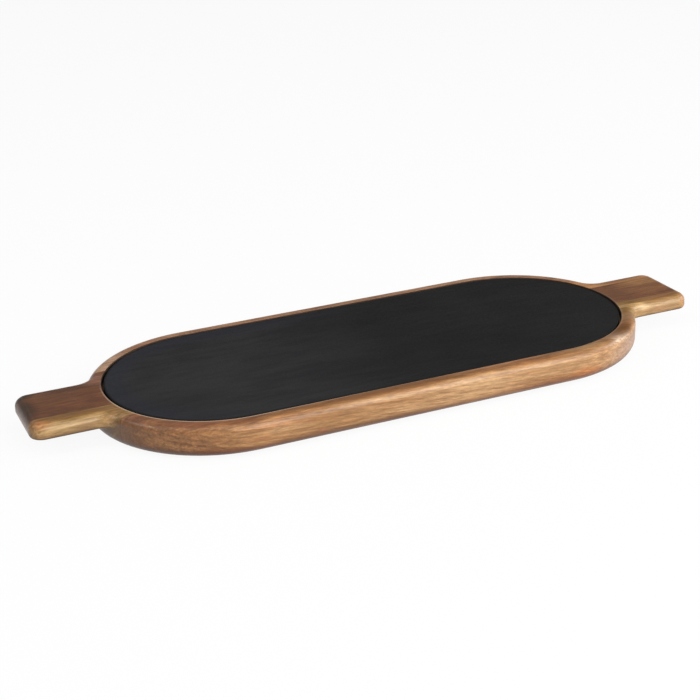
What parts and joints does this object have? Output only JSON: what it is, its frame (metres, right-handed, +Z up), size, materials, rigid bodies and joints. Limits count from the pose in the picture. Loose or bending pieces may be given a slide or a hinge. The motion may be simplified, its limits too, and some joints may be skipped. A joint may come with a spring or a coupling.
{
  "type": "slate serving board",
  "caption": "Long round-ended wooden serving board with flat end handles and a lift-out slate plate lying in its recess.",
  "frame": {"origin": "on the table, under the middle of the board", "axes": "+X along the board from handle to handle, +Y across it to the back, +Z up"},
  "size_m": [0.511, 0.181, 0.0245],
  "materials": {
    "wood_heart": "oiled dark heartwood, satin",
    "wood_gold": "oiled golden hardwood, satin",
    "wood_side": "oiled mid-brown hardwood, satin",
    "slate": "natural riven slate, matt",
    "foot_rubber": "matt dark rubber"
  },
  "bodies": {
    "board": {"stave_front_outer": "wood_side", "stave_front_inner": "wood_gold", "stave_centre": "wood_heart", "stave_back_inner": "wood_gold", "stave_back_outer": "wood_side", "foot_front_left": "foot_rubber", "foot_front_right": "foot_rubber", "foot_back_left": "foot_rubber", "foot_back_right": "foot_rubber"},
    "slate": {"slate_plate": "slate"}
  },
  "joints": [
    {"name": "slate_lift", "type": "slide", "parent": "board", "child": "slate", "axis": [0, 0, 1], "range_m": [0, 0.03]}
  ]
}
